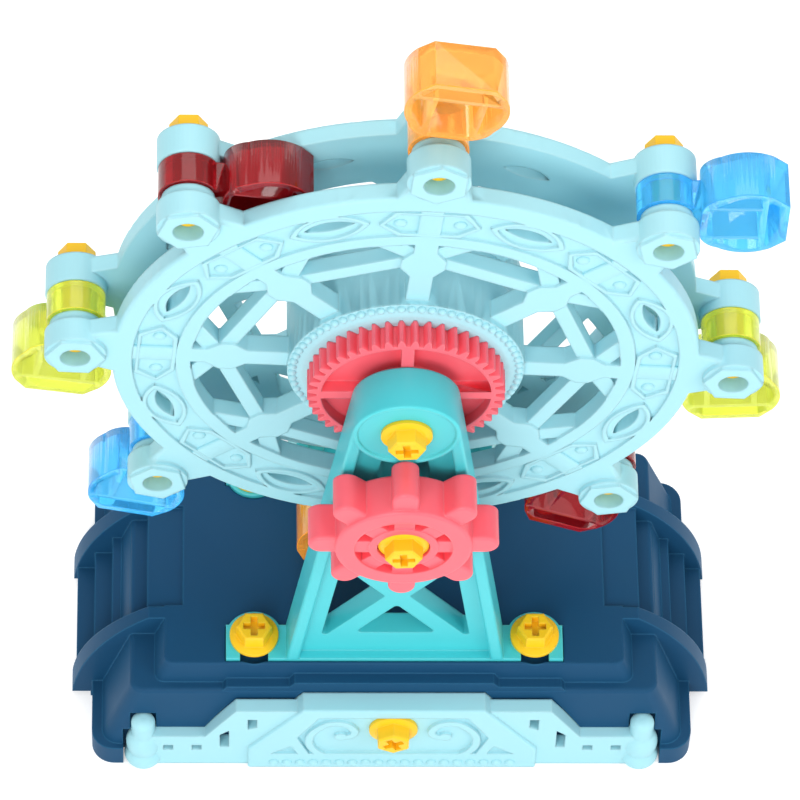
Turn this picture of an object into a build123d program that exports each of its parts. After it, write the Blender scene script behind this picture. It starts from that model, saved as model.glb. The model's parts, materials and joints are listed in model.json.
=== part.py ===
from build123d import *
from math import asin, atan, atan2, cos, degrees, hypot, pi, radians, sin, sqrt, tan
import os

# Toy ferris wheel turned by a crank knob, built from screw-together plastic mouldings.
# X to the right, Y away from the viewer, Z up. The origin is on the ground under the
# middle of the base, and Y = 0 is the middle plane of the wheel.

os.makedirs("parts", exist_ok=True)

# ---------------------------------------------------------------- clearances
run_gap = 0.3
seat_gap = 0.15
pocket_gap = 0.3
bore_gap = 0.2
pin_gap = 0.4

# ---------------------------------------------------------------- base sizes
base_flange_x = 186.6
base_flange_y = 97.0
base_flange_height = 9.0
base_corner = 7.0
body_inset_x = 3.3
body_inset_y = 2.0
body_slope_x = 9.0
body_slope_y = 3.3
deck_height = 45.0
deck_block_height = 8.7
deck_length = 141.2
deck_width = 77.0
deck_draft = 1.5
deck_corner = 3.0
deck_round = 0.6
ledge_round = 1.4
shoulder_rise = 5.0
shoulder_rear = 39.0
shell_wall = 2.5
base_rib = 2.4
landing_step = 1.5
landing_inner_x = 65.0
stair_width = 36.6
stair_run = 5.6
stair_treads = 5
banister_top_width = 4.2
banister_foot_width = 8.1
banister_reach = 99.7
banister_toe = 2.6
banister_bow = 3.5
banister_lip = 0.7

# ---------------------------------------------------------------- gondola sizes
gondola_reach = 34.3
gondola_end_half = 8.6
gondola_half_width = 14.6
gondola_near = 9.4
gondola_depth = 14.6
gondola_set_back = 0.5
gondola_wall = 2.0
gondola_rib = 1.6
gondola_neck_width = 10.0
gondola_corner_run = 4.1
gondola_corner_drop = 2.2
gondola_near_run = 5.6
gondola_near_drop = 2.4
gondola_bar_back = 7.0
gondola_rib_side = 7.0
collar_length = 9.4
collar_d = 17.2
pin_d = 8.0
pin_tip_depth = 3.9
pin_tip_chamfer = 1.2

# ---------------------------------------------------------------- wheel sizes
pivot_count = 8
pivot_radius = 96.0
wheel_phase = -3.97
deck_clearance = 1.66
disc_gap = 16.3
disc_thickness = 5.9
rim_radius = 85.3
rim_land = 5.8
rim_round = 1.2
band_width = 12.7
inner_ring = 4.3
band_recess = 0.9
spoke_width = 6.7
node_radius = 52.2
node_half = 6.4
node_length = 12.0
chord_apothem = 50.25
chord_width = 4.7
brace_width = 5.4
brace_angle = 12.5
hub_radius = 34.5
hub_wall = 3.0
hub_face_radius = 29.0
hub_lip = 1.6
hub_step = 1.85
hub_bore_wall = 3.8
front_lip = 1.0
front_lip_flats = 15.2
pivot_boss_d = 18.0
front_spacer_d = 15.2
front_boss_rise = 1.6
front_boss_round = 1.2
rear_boss_rise = 0.3
arm_half = 11.0
slot_angle = 5.85
slot_width = 4.3
leaf_angle = 9.2
leaf_width = 12.0
lip_width = 1.1
panel_angle = 11.4

# ---------------------------------------------------------------- gear sizes
gear_module = 1.25
gear_teeth = 44
pinion_teeth = 20
gear_width = 7.35
gear_recess = 4.0
gear_rim = 2.8
gear_rib = 3.6
gear_backlash = 0.3
pressure_angle = 20.0

# ---------------------------------------------------------------- axle and tower sizes
axle_d = 12.0
axle_seat = 8.0
crank_shaft_d = 12.0
crank_hex = 9.6
crank_hex_length = 8.0
tower_depth = 13.5
tower_boss_r = 15.65
boss_rim = 1.5
boss_dish = 0.8
boss_round = 0.5
leg_step = 0.8
leg_round = 1.0
tower_foot_half = 33.45
web_thickness = 7.0
web_inset = 2.25
leg_flange = 4.0
leg_low_width = 9.4
leg_high_width = 11.8
bearing_boss_r = 9.0
cross_web_above = 9.5
cross_web_below = 20.0
upper_window_height = 12.5
brace_slope = 53.3
brace_member = 6.0
brace_apex = 28.9
foot_bar_height = 12.0
foot_half_length = 51.75
foot_width = 12.0
foot_thickness = 3.4
foot_sink = 2.2
foot_front_margin = 1.2
tab_radius = 8.65
tab_setback = 7.95
tab_slot = 8.6

# ---------------------------------------------------------------- fence sizes
fence_bottom = 0.5
fence_front = 48.9
fence_thickness = 4.6
fence_low_top = 17.3
fence_high_top = 33.2
fence_low_x = 58.1
fence_high_x = 48.6
plaque_front = 50.2
plaque_rear = 43.3
plaque_half_foot = 44.8
plaque_half_top = 28.0
plaque_shoulder = 11.4
plaque_top = 35.5
post_x = 77.2
post_y = 46.1
post_r = 3.7
post_bulb_r = 5.4
post_skirt_r = 6.0
post_waist_r = 4.7
post_top = 24.5
post_skirt_z = 3.6
post_waist_z = 7.0
post_bulb_z = 10.5
post_shoulder_z = 14.0
post_neck_z = 15.6
post_cap = 2.6
fence_window = 3.0
fence_window_z = 10.6
fence_window_steps = (7.7, 16.5)
fence_slot_width = 2.8
tall_slot_x = 52.1
tall_slot_low = 10.9
tall_slot_high = 19.9
tall_slot_slant = 1.3
high_slot_x = 43.5
high_slot_low = 22.5
high_slot_high = 28.1
high_slot_slant = -0.7
fence_round = 0.8
field_depth = 1.2
field_top = 31.4
field_bottom = 8.8
field_side = ((26.0, 8.8), (28.6, 16.0), (29.6, 19.0), (22.9, 31.4))
triangle_corners = ((37.9, 8.8), (31.4, 13.6), (29.3, 8.8))
scroll_foot_x = 21.5
scroll_side = (26.0, 16.6)
scroll_shoulder = (22.5, 25.0)
scroll_crown = (17.0, 27.7)
scroll_turn = (12.4, 24.0)
scroll_curl = (12.7, 20.1)
scroll_end = (16.2, 19.4)
scroll_width = 2.4
scroll_bud_r = 2.0

# ---------------------------------------------------------------- bolt and knob sizes
bolt_flange_d = 15.0
bolt_flange_height = 1.2
bolt_skirt_height = 0.6
bolt_skirt_d = 11.6
bolt_hex = 10.0
bolt_head = 6.3
bolt_draft = 3.0
bolt_edge = 0.5
bolt_shank_d = 6.5
bolt_cross_length = 6.6
bolt_cross_width = 2.1
bolt_cross_depth = 2.6
bolt_boss_r = 7.0
foot_bolt_length = 16.0
axle_bolt_length = 15.0
knob_bolt_length = 13.5
fence_bolt_height = 23.7
fence_bolt_length = 13.0
knob_depth = 13.0
knob_standoff = 1.3
knob_ring_r = 20.3
knob_ring_inner = 14.5
knob_hub_r = 10.3
knob_lobe_reach = 28.0
knob_lobe_width = 8.0
knob_lobes = 8
knob_recess = 4.0
knob_spoke = 6.0
knob_lobe_step = 1.2
knob_web_step = 0.8
knob_hub_step = 0.4
knob_bolt_sink = 2.4
knob_round = 1.0

# ---------------------------------------------------------------- derived places
gondola_swing = hypot(gondola_reach, gondola_end_half)
axle_height = deck_height + deck_clearance + gondola_swing + pivot_radius
gear_distance = gear_module * (gear_teeth + pinion_teeth) / 2
crank_height = axle_height - gear_distance
boss_inner = collar_length / 2 + run_gap
disc_inner = disc_gap / 2
disc_outer = disc_inner + disc_thickness
boss_front = disc_outer + front_boss_rise + front_lip
pin_tip = boss_front - pin_tip_depth
boss_rear = disc_outer + rear_boss_rise
hub_edge = disc_outer + hub_step
hub_face = hub_edge + hub_lip
gear_front = hub_face + gear_width
tower_inner = gear_front + run_gap
tower_outer = tower_inner + tower_depth
web_rear = tower_inner + web_inset
axle_end = tower_inner + axle_seat - seat_gap
knob_rear = tower_outer + knob_standoff
knob_front = knob_rear + knob_depth
hub_bore_r = axle_d / 2 + bore_gap
pin_bore_r = pin_d / 2 + pin_gap
shank_bore_r = bolt_shank_d / 2 + seat_gap
body_top = deck_height - deck_block_height
foot_front = tower_outer - foot_front_margin
foot_rear = foot_front - foot_width
foot_bottom = deck_height - foot_sink
foot_top = foot_bottom + foot_thickness
leg_start = max(foot_top - 0.5, deck_height + 0.4)
tab_x = foot_half_length - tab_radius
tab_y = foot_front - tab_setback
band_outer = rim_radius - rim_land
band_inner = band_outer - band_width
ring_inner = band_inner - inner_ring
band_middle = (band_outer + band_inner) / 2 + 0.9
pitch = 360.0 / pivot_count


def face_plane(distance, centre_z=0.0, turn=0.0):
    """Plane at Y = -distance that faces the viewer, with its X axis turned by an angle."""
    t = radians(turn)
    return Plane(origin=(0, -distance, centre_z), x_dir=(cos(t), 0, sin(t)), z_dir=(0, -1, 0))


def wheel_plane(distance):
    return face_plane(distance, axle_height, wheel_phase)


def polar(radius, angle):
    return (radius * cos(radians(angle)), radius * sin(radians(angle)))


# ---------------------------------------------------------------- bolt
def bolt(seat, shank, turn=0.0):
    """Flanged hexagon bolt whose flange sits on the seat plane and whose shank goes below it."""
    with BuildPart() as piece:
        with BuildSketch(seat):
            Circle(bolt_flange_d / 2)
        extrude(amount=bolt_flange_height)
        with Locations(seat.offset(bolt_flange_height).location):
            Cone(bolt_flange_d / 2, bolt_skirt_d / 2, bolt_skirt_height,
                 align=(Align.CENTER, Align.CENTER, Align.MIN))
        with BuildSketch(seat.offset(bolt_flange_height)):
            RegularPolygon(bolt_hex / 2, 6, major_radius=False, rotation=turn)
        extrude(amount=bolt_head - bolt_flange_height, taper=bolt_draft)
        chamfer(piece.faces().sort_by(Axis(seat.origin, seat.z_dir))[-1].edges(), bolt_edge)
        with BuildSketch(seat.offset(bolt_head)):
            Rectangle(bolt_cross_length, bolt_cross_width, rotation=turn)
            Rectangle(bolt_cross_width, bolt_cross_length, rotation=turn)
        extrude(amount=-bolt_cross_depth, mode=Mode.SUBTRACT)
        with BuildSketch(seat):
            Circle(bolt_shank_d / 2)
        extrude(amount=-shank)
    return piece.part


# ---------------------------------------------------------------- toothed wheels
def involute_turn(base, radius):
    """Angle in radians by which an involute has left its base circle at a radius."""
    roll = sqrt(max((radius / base) ** 2 - 1, 0.0))
    return roll - atan(roll)


def toothed_outline(teeth, first_tooth):
    """Closed outline of a spur gear with involute flanks, one tooth centred on an angle."""
    r_pitch = gear_module * teeth / 2
    r_base = r_pitch * cos(radians(pressure_angle))
    r_tip = r_pitch + gear_module
    r_root = r_pitch - 1.25 * gear_module
    r_start = max(r_base, r_root)
    r_mid = (r_start + r_tip) / 2
    half = pi / (2 * teeth) - gear_backlash / (4 * r_pitch)
    at_pitch = half + involute_turn(r_base, r_pitch)
    turn_start = degrees(at_pitch - involute_turn(r_base, r_start))
    turn_mid = degrees(at_pitch - involute_turn(r_base, r_mid))
    turn_tip = degrees(at_pitch - involute_turn(r_base, r_tip))
    step = 360.0 / teeth
    with BuildSketch(Plane.XY) as outline:
        with BuildLine():
            for k in range(teeth):
                c = first_tooth + k * step
                if r_base > r_root:
                    Line(polar(r_root, c - turn_start), polar(r_start, c - turn_start))
                ThreePointArc(polar(r_start, c - turn_start), polar(r_mid, c - turn_mid),
                              polar(r_tip, c - turn_tip))
                Line(polar(r_tip, c - turn_tip), polar(r_tip, c + turn_tip))
                ThreePointArc(polar(r_tip, c + turn_tip), polar(r_mid, c + turn_mid),
                              polar(r_start, c + turn_start))
                if r_base > r_root:
                    Line(polar(r_start, c + turn_start), polar(r_root, c + turn_start))
                Line(polar(r_root, c + turn_start), polar(r_root, c + step - turn_start))
        make_face()
    return outline.sketch


# The pinion stands under the gear, with a gap between two of its teeth where the
# nearest gear tooth comes down.
gear_step = 360.0 / gear_teeth
gear_offset = (wheel_phase + 90.0) % gear_step
pinion_first = 90.0 - gear_offset * gear_teeth / pinion_teeth + 180.0 / pinion_teeth

# ---------------------------------------------------------------- base housing
flange_half_x = base_flange_x / 2
body_low_x = base_flange_x - 2 * body_inset_x
body_low_y = base_flange_y - 2 * body_inset_y
body_high_x = body_low_x - 2 * body_slope_x
body_high_y = body_low_y - 2 * body_slope_y
stair_top = deck_height - landing_step
stair_rise = (stair_top - base_flange_height) / (stair_treads - 1)
stair_first_x = banister_reach - 1.3 - stair_run * (stair_treads - 1)
stair_toe_x = stair_first_x + stair_run * (stair_treads - 1)
banister_middle = stair_width / 2 + banister_top_width / 2


def polygon(*points):
    """Straight-sided face through a few points."""
    with BuildSketch(Plane.XY) as outline:
        with BuildLine():
            Polyline(*points, close=True)
        make_face()
    return outline.sketch


def foot_outline(grow):
    """Foot plate of a tower with its two round bolt tabs, grown by a clearance."""
    with BuildSketch(Plane.XY) as outline:
        with Locations((0, -(foot_front + foot_rear) / 2)):
            Rectangle(2 * (foot_half_length + grow), foot_width + 2 * grow)
        with Locations((-tab_x, -tab_y), (tab_x, -tab_y)):
            Circle(tab_radius + grow)
    return outline.sketch


def fence_wing_outline(grow):
    """Front silhouette of the low fence between its posts."""
    with BuildSketch(Plane.XY) as outline:
        with BuildLine():
            Polyline((0, fence_bottom), (post_x, fence_bottom), (post_x, fence_low_top),
                     (fence_low_x, fence_low_top), (fence_high_x, fence_high_top),
                     (0, fence_high_top), (0, fence_bottom))
        make_face()
        mirror(about=Plane.YZ)
        if grow > 0:
            offset(amount=grow, kind=Kind.INTERSECTION)
    return outline.sketch


def wing_slot(side, x, low, high, low_slant, high_slant):
    """Upright slot in one fence wing, whose ends may slope with the wing's top."""
    half = fence_slot_width / 2
    return polygon((side * x - half, low + low_slant * side),
                   (side * x + half, low - low_slant * side),
                   (side * x + half, high - high_slant * side),
                   (side * x - half, high + high_slant * side))


def plaque_outline(grow):
    """Front silhouette of the thicker middle plaque of the fence."""
    with BuildSketch(Plane.XY) as outline:
        with BuildLine():
            Polyline((0, fence_bottom), (plaque_half_foot, fence_bottom),
                     (plaque_half_foot, plaque_shoulder), (plaque_half_top, plaque_top),
                     (0, plaque_top), (0, fence_bottom))
        make_face()
        mirror(about=Plane.YZ)
        if grow > 0:
            offset(amount=grow, kind=Kind.INTERSECTION)
    return outline.sketch


def scroll_outline():
    """Band of the right-hand scroll on the plaque, from the bottom strip to its curled end."""
    with BuildSketch(Plane.XY) as outline:
        with BuildLine():
            ThreePointArc((scroll_foot_x, field_bottom - 1), scroll_side, scroll_shoulder)
            ThreePointArc(scroll_shoulder, scroll_crown, scroll_turn)
            ThreePointArc(scroll_turn, scroll_curl, scroll_end)
        trace(line_width=scroll_width)
        with Locations(scroll_end):
            Circle(scroll_bud_r)
    return outline.sketch


# The banisters are the overlap of a curved side view and a drafted end view.
with BuildPart() as banisters:
    with BuildSketch(Plane.XZ):
        with BuildLine():
            Line((landing_inner_x, 0), (landing_inner_x, deck_height))
            Line((landing_inner_x, deck_height), (stair_first_x - 0.5, deck_height))
            ThreePointArc((stair_first_x - 0.5, deck_height),
                          ((stair_first_x + banister_reach) / 2 + banister_bow,
                           deck_height * 0.6 + banister_lip),
                          (banister_reach, banister_toe))
            Line((banister_reach, banister_toe), (flange_half_x + banister_lip, banister_toe))
            Line((flange_half_x + banister_lip, banister_toe), (flange_half_x + banister_lip, 0))
            Line((flange_half_x + banister_lip, 0), (landing_inner_x, 0))
        make_face()
        mirror(about=Plane.YZ)
    extrude(amount=deck_width / 2, both=True)
    with BuildSketch(Plane.YZ):
        with Locations((-banister_middle, 0), (banister_middle, 0)):
            add(polygon((-banister_foot_width / 2, 0), (banister_foot_width / 2, 0),
                        (banister_top_width / 2, deck_height),
                        (-banister_top_width / 2, deck_height)))
    extrude(amount=banister_reach + 1, both=True, mode=Mode.INTERSECT)

with BuildPart() as base_housing:
    with BuildSketch(Plane.XY):
        RectangleRounded(base_flange_x, base_flange_y, base_corner)
    extrude(amount=base_flange_height)
    with BuildSketch(Plane.XY.offset(base_flange_height)):
        RectangleRounded(body_low_x, body_low_y, base_corner - 2)
    with BuildSketch(Plane.XY.offset(body_top)):
        RectangleRounded(body_high_x, body_high_y, base_corner - 3)
    loft()
    fillet(base_housing.faces().sort_by(Axis.Z)[-1].edges(), ledge_round)
    with BuildSketch(Plane.XY.offset(body_top - ledge_round)):
        RectangleRounded(deck_length + 4 * deck_draft, deck_width + 2 * deck_draft, deck_corner)
    extrude(amount=ledge_round)
    with BuildSketch(Plane.XY.offset(body_top)):
        RectangleRounded(deck_length + 4 * deck_draft, deck_width + 2 * deck_draft, deck_corner)
    with BuildSketch(Plane.XY.offset(deck_height)):
        RectangleRounded(deck_length, deck_width, deck_corner)
    loft()
    fillet(base_housing.faces().sort_by(Axis.Z)[-1].edges(), deck_round)
    # raised shoulder behind the fence, which follows the fence's top edge
    with BuildSketch(Plane.XZ.offset(shoulder_rear)):
        add(fence_wing_outline(shoulder_rise))
        add(plaque_outline(shoulder_rise))
        with Locations((0, body_top - ledge_round)):
            Rectangle(base_flange_x, 2 * deck_height,
                      align=(Align.CENTER, Align.MIN), mode=Mode.INTERSECT)
    extrude(amount=plaque_rear - pocket_gap - shoulder_rear)
    with BuildSketch(Plane.XZ):
        with BuildLine():
            steps = [(landing_inner_x, 0), (landing_inner_x, stair_top)]
            for k in range(stair_treads):
                nose_x = stair_first_x + stair_run * k
                nose_z = stair_top - stair_rise * k
                steps.append((nose_x, nose_z))
                steps.append((nose_x, max(nose_z - stair_rise, 0.0)))
            Polyline(*steps, close=True)
        make_face()
        mirror(about=Plane.YZ)
    extrude(amount=stair_width / 2, both=True)
    add(banisters.part)
    # landings at the head of the stairs
    with BuildSketch(Plane.XY.offset(deck_height)):
        for side in (-1, 1):
            with Locations((side * (landing_inner_x + stair_first_x + 20) / 2, 0)):
                Rectangle(stair_first_x + 20 - landing_inner_x, stair_width - 1)
    extrude(amount=-landing_step, mode=Mode.SUBTRACT)
    # hollow underside
    with BuildSketch(Plane.XY):
        Rectangle(body_low_x - 2 * shell_wall, 2 * (plaque_rear - pocket_gap - shell_wall))
    with BuildSketch(Plane.XY.offset(body_top - shell_wall)):
        Rectangle(body_high_x - 2 * shell_wall, 2 * (plaque_rear - pocket_gap - shell_wall) - 0.2)
    loft(mode=Mode.SUBTRACT)
    with BuildSketch(Plane.XY.offset(body_top - shell_wall)):
        Rectangle(deck_length - 2 * shell_wall, deck_width - 2 * shell_wall)
    extrude(amount=deck_block_height + shell_wall - foot_sink - shell_wall, mode=Mode.SUBTRACT)
    with BuildSketch(Plane.XZ):
        with BuildLine():
            under = sqrt(stair_run ** 2 + stair_rise ** 2) * shell_wall / stair_run
            low_x = stair_toe_x - stair_run - shell_wall
            low_z = base_flange_height - shell_wall
            high_x = stair_first_x - 1.5 * stair_run
            slope = stair_rise / stair_run
            Polyline((high_x, 0), (low_x, 0), (low_x, low_z),
                     (high_x, low_z + (low_x - high_x) * slope - under + shell_wall), close=True)
        make_face()
        mirror(about=Plane.YZ)
    extrude(amount=stair_width / 2 - shell_wall, both=True, mode=Mode.SUBTRACT)
    # stiffening rib under the middle of the deck, down to the ground
    with BuildSketch(Plane.XY):
        Rectangle(deck_length, base_rib)
    extrude(amount=foot_bottom)
    # bosses for the foot bolts and the fence bolt
    with BuildSketch(Plane.XY.offset(foot_top - foot_bolt_length - 2)):
        with Locations(*[(sx * tab_x, sy * tab_y) for sx in (-1, 1) for sy in (-1, 1)]):
            Circle(bolt_boss_r)
    extrude(until=Until.NEXT)
    with BuildSketch(Plane.XZ.offset(plaque_front - fence_bolt_length - 1)):
        with Locations((0, fence_bolt_height)):
            Circle(bolt_boss_r)
    extrude(amount=fence_bolt_length - (plaque_front - plaque_rear) + 0.5)
    # pockets and bores
    for side in (-1, 1):
        with BuildSketch(Plane.XY.offset(foot_bottom)):
            add(foot_outline(pocket_gap) if side < 0 else mirror(foot_outline(pocket_gap),
                about=Plane.XZ, mode=Mode.PRIVATE))
        extrude(amount=foot_sink + 1, mode=Mode.SUBTRACT)
    with BuildSketch(Plane.XY.offset(foot_bottom + 0.5)):
        with Locations(*[(sx * tab_x, sy * tab_y) for sx in (-1, 1) for sy in (-1, 1)]):
            Circle(shank_bore_r)
    extrude(amount=-deck_height, mode=Mode.SUBTRACT)
    with BuildSketch(Plane.XZ.offset(fence_front - fence_thickness - pocket_gap)):
        add(fence_wing_outline(pocket_gap))
        with Locations((0, -5)):
            Rectangle(2 * (post_x + pocket_gap), 12)
    extrude(amount=20, mode=Mode.SUBTRACT)
    with BuildSketch(Plane.XZ.offset(plaque_rear - pocket_gap)):
        add(plaque_outline(pocket_gap))
        with Locations((0, -5)):
            Rectangle(2 * (plaque_half_foot + pocket_gap), 12)
        for side in (-1, 1):
            with Locations((side * post_x, post_top / 2)):
                Rectangle(2 * (post_r + pocket_gap), post_top + 2 * pocket_gap)
            with Locations((side * post_x, (post_bulb_r + 11) / 2)):
                Rectangle(2 * (post_skirt_r + pocket_gap), post_bulb_r + 11)
    extrude(amount=20, mode=Mode.SUBTRACT)
    with BuildSketch(Plane.XZ.offset(plaque_front)):
        with Locations((0, fence_bolt_height)):
            Circle(shank_bore_r)
    extrude(amount=-fence_bolt_length - 2, mode=Mode.SUBTRACT)
base_housing.part.label = "base_housing"
export_step(base_housing.part, "parts/base_housing.step")

# ---------------------------------------------------------------- towers
tower_rise = axle_height - deck_height
lean = atan2(tower_foot_half, tower_rise) - asin(tower_boss_r / hypot(tower_foot_half, tower_rise))
lean_run = tan(lean)


def leg_edge(z, inward=0.0):
    """Half width of the tower's outer edge at a height, moved inward by a width."""
    return tower_foot_half - (z - deck_height) * lean_run - inward


def window(points, corner):
    """Tower window with rounded corners, given by its right half or whole outline."""
    with BuildSketch(Plane.XY) as opening:
        with BuildLine():
            Polyline(*points, close=True)
        make_face()
        fillet(opening.vertices(), corner)
    return opening.sketch


brace_run = tan(radians(brace_slope))
brace_rise = brace_member / cos(radians(brace_slope))
low_apex = deck_height + brace_apex
crossing = low_apex + brace_rise / 2
high_apex = low_apex + brace_rise
bar_top = deck_height + foot_bar_height
cross_low = crank_height - cross_web_below
cross_high = crank_height + cross_web_above
side_x = brace_rise / 2 / brace_run
edge_low = leg_edge(crossing, leg_low_width)
side_high_x = (edge_low + side_x * brace_run * lean_run) / (1 + brace_run * lean_run)
side_low_x = (edge_low - side_x * brace_run * lean_run) / (1 - brace_run * lean_run)
mid_x = (leg_edge(high_apex, leg_low_width)) / (1 + brace_run * lean_run)
window_top = cross_high + upper_window_height

# full-depth flange along the outer edge of both legs, with a rounded front
with BuildPart() as leg_flanges:
    with BuildSketch(Plane.XZ.offset(tower_inner)):
        with BuildLine():
            Polyline((leg_edge(leg_start, leg_flange), leg_start),
                     (leg_edge(leg_start), leg_start),
                     (leg_edge(axle_height) * cos(lean) ** 2, axle_height + tower_boss_r * sin(lean)),
                     (leg_edge(axle_height, leg_flange), axle_height), close=True)
        make_face()
        mirror(about=Plane.YZ)
    extrude(amount=tower_depth - leg_step)
    fillet(leg_flanges.faces().sort_by(Axis.Y)[:2].edges(), leg_round)

with BuildPart() as front_tower:
    # web between the legs, with its windows
    with BuildSketch(Plane.XZ.offset(web_rear)):
        with BuildLine():
            Polyline((-leg_edge(leg_start), leg_start), (leg_edge(leg_start), leg_start),
                     (leg_edge(axle_height) * 0.98, axle_height),
                     (-leg_edge(axle_height) * 0.98, axle_height), close=True)
        make_face()
        add(window([(0, low_apex), (-(low_apex - bar_top) / brace_run, bar_top),
                    ((low_apex - bar_top) / brace_run, bar_top)], 1.2), mode=Mode.SUBTRACT)
        for side in (-1, 1):
            add(window([(side * side_x, crossing),
                        (side * side_high_x, crossing + (side_high_x - side_x) * brace_run),
                        (side * side_low_x, crossing - (side_low_x - side_x) * brace_run)], 1.0),
                mode=Mode.SUBTRACT)
        add(window([(0, high_apex), (mid_x, high_apex + mid_x * brace_run),
                    (leg_edge(cross_low, leg_low_width), cross_low),
                    (-leg_edge(cross_low, leg_low_width), cross_low),
                    (-mid_x, high_apex + mid_x * brace_run)], 1.5), mode=Mode.SUBTRACT)
        add(window([(leg_edge(cross_high, leg_high_width), cross_high),
                    (leg_edge(window_top, leg_high_width), window_top),
                    (-leg_edge(window_top, leg_high_width), window_top),
                    (-leg_edge(cross_high, leg_high_width), cross_high)], 2.0),
            mode=Mode.SUBTRACT)
    extrude(amount=web_thickness)
    add(leg_flanges.part)
    # axle boss with a raised round rim, and the crank bearing
    with BuildSketch(Plane.XZ.offset(tower_inner)):
        with Locations((0, axle_height)):
            Circle(tower_boss_r)
    extrude(amount=tower_depth)
    with BuildSketch(Plane.XZ.offset(tower_outer)):
        with Locations((0, axle_height)):
            Circle(tower_boss_r - boss_rim)
    extrude(amount=-boss_dish, mode=Mode.SUBTRACT)
    fillet(front_tower.edges().group_by(Axis.Y)[0], boss_round)
    with BuildSketch(Plane.XZ.offset(tower_inner)):
        with Locations((0, crank_height)):
            Circle(bearing_boss_r)
    extrude(amount=tower_depth)
    # foot plate with two bolt tabs
    with BuildSketch(Plane.XY.offset(foot_bottom)):
        add(foot_outline(0))
    extrude(amount=foot_thickness)
    with BuildSketch(Plane.XY.offset(foot_bottom)):
        for side in (-1, 1):
            with Locations((side * tab_x, -tab_y)):
                Circle(tab_slot / 2)
            with Locations((side * tab_x, -(tab_y + foot_front + 1) / 2)):
                Rectangle(tab_slot, foot_front + 1 - tab_y)
    extrude(amount=foot_thickness, mode=Mode.SUBTRACT)
    # axle socket, axle bolt bore and crank bearing
    with BuildSketch(Plane.XZ.offset(tower_inner)):
        with Locations((0, axle_height)):
            Circle(axle_d / 2 + seat_gap)
    extrude(amount=axle_seat, mode=Mode.SUBTRACT)
    with BuildSketch(Plane.XZ.offset(tower_inner)):
        with Locations((0, axle_height)):
            Circle(shank_bore_r)
        with Locations((0, crank_height)):
            Circle(crank_shaft_d / 2 + pin_gap)
    extrude(amount=tower_depth, mode=Mode.SUBTRACT)
front_tower.part.label = "front_tower"
export_step(front_tower.part, "parts/front_tower.step")

with BuildPart() as rear_tower:
    mirror(front_tower.part, about=Plane.XZ)
rear_tower.part.label = "rear_tower"
export_step(rear_tower.part, "parts/rear_tower.step")

# ---------------------------------------------------------------- front fence
with BuildPart() as front_fence:
    with BuildSketch(Plane.XZ.offset(fence_front - fence_thickness)):
        add(fence_wing_outline(0))
        for side in (-1, 1):
            for step in fence_window_steps:
                with Locations((side * (post_x - step), fence_window_z)):
                    Rectangle(fence_window, fence_window, mode=Mode.SUBTRACT)
            add(wing_slot(side, tall_slot_x, tall_slot_low, tall_slot_high, 0.0,
                          tall_slot_slant), mode=Mode.SUBTRACT)
            add(wing_slot(side, high_slot_x, high_slot_low, high_slot_high, -high_slot_slant,
                          0.0), mode=Mode.SUBTRACT)
    extrude(amount=fence_thickness)
    with BuildSketch(Plane.XZ.offset(plaque_rear)):
        add(plaque_outline(0))
    extrude(amount=plaque_front - plaque_rear)
    fillet(front_fence.edges().group_by(Axis.Y)[0].filter_by(lambda e: e.center().Z > 1),
           fence_round)
    # sunk field with a raised scroll and a small sunk triangle on each side
    with BuildSketch(Plane.XZ.offset(plaque_front)):
        add(polygon((0, field_bottom), *field_side, (0, field_top)))
        add(polygon(*triangle_corners))
        add(scroll_outline(), mode=Mode.SUBTRACT)
        mirror(about=Plane.YZ)
    extrude(amount=-field_depth, mode=Mode.SUBTRACT)
    # turned posts at both ends, flat behind
    for side in (-1, 1):
        with BuildSketch(Plane(origin=(side * post_x, -post_y, 0), x_dir=(1, 0, 0),
                               z_dir=(0, -1, 0))) as post_profile:
            with BuildLine():
                Polyline((0, post_top), (0, fence_bottom), (post_waist_r, fence_bottom))
                ThreePointArc((post_waist_r, fence_bottom), (post_skirt_r, post_skirt_z),
                              (post_waist_r, post_waist_z))
                ThreePointArc((post_waist_r, post_waist_z), (post_bulb_r, post_bulb_z),
                              (post_waist_r, post_shoulder_z))
                Polyline((post_waist_r, post_shoulder_z), (post_r, post_neck_z),
                         (post_r, post_top - post_cap))
                ThreePointArc((post_r, post_top - post_cap),
                              (post_r * 0.75, post_top - post_cap * 0.3), (0, post_top))
            make_face()
        revolve(axis=Axis((side * post_x, -post_y, 0), (0, 0, 1)))
    with BuildSketch(Plane.XZ.offset(plaque_rear)):
        with Locations((0, post_top)):
            Rectangle(2 * (post_x + 10), 2 * post_top + 10)
    extrude(amount=-10, mode=Mode.SUBTRACT)
    with BuildSketch(Plane.XZ.offset(plaque_rear)):
        with Locations((0, fence_bolt_height)):
            Circle(shank_bore_r)
    extrude(amount=plaque_front, mode=Mode.SUBTRACT)
front_fence.part.label = "front_fence"
export_step(front_fence.part, "parts/front_fence.step")

# ---------------------------------------------------------------- main axle
with BuildPart() as main_axle:
    with BuildSketch(face_plane(axle_end, axle_height)):
        Circle(axle_d / 2)
    extrude(amount=-2 * axle_end)
    with BuildSketch(face_plane(axle_end, axle_height)):
        Circle(shank_bore_r)
    extrude(amount=-axle_bolt_length, mode=Mode.SUBTRACT)
    with BuildSketch(face_plane(-axle_end, axle_height)):
        Circle(shank_bore_r)
    extrude(amount=axle_bolt_length, mode=Mode.SUBTRACT)
main_axle.part.label = "main_axle"
export_step(main_axle.part, "parts/main_axle.step")


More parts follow.
